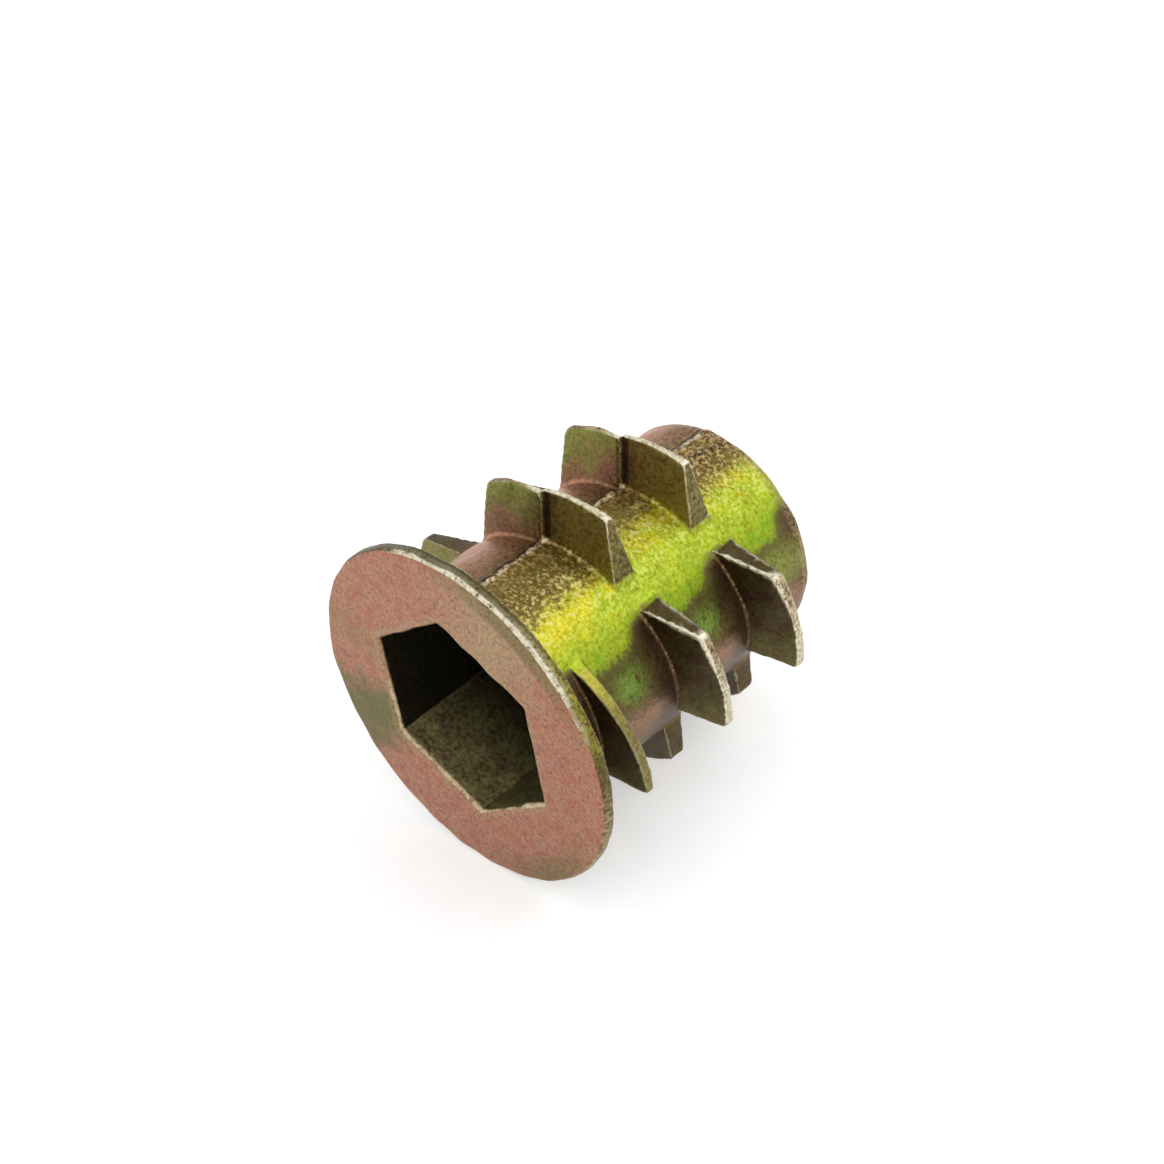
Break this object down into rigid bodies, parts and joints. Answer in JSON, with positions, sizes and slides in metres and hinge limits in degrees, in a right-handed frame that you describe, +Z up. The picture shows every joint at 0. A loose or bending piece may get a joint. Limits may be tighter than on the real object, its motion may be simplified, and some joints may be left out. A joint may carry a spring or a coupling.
{
  "type": "threaded insert",
  "caption": "Flanged hex-drive threaded insert, cast in one piece, with a coarse interrupted wood thread outside and a machine thread inside.",
  "frame": {"origin": "on the surface that the part lies on, under the middle of its box", "axes": "+Y along the part's axis from the flange to the nose, +Z up along the die's parting plane, +X to the right seen from the flange"},
  "size_m": [0.015, 0.0154, 0.0149],
  "materials": {
    "chromated_zinc": "zinc casting with a yellow iridescent chromate coat that turns from pink to gold and lime, satin and slightly grainy"
  },
  "bodies": {
    "root": {"insert_body": "chromated_zinc"}
  },
  "joints": []
}
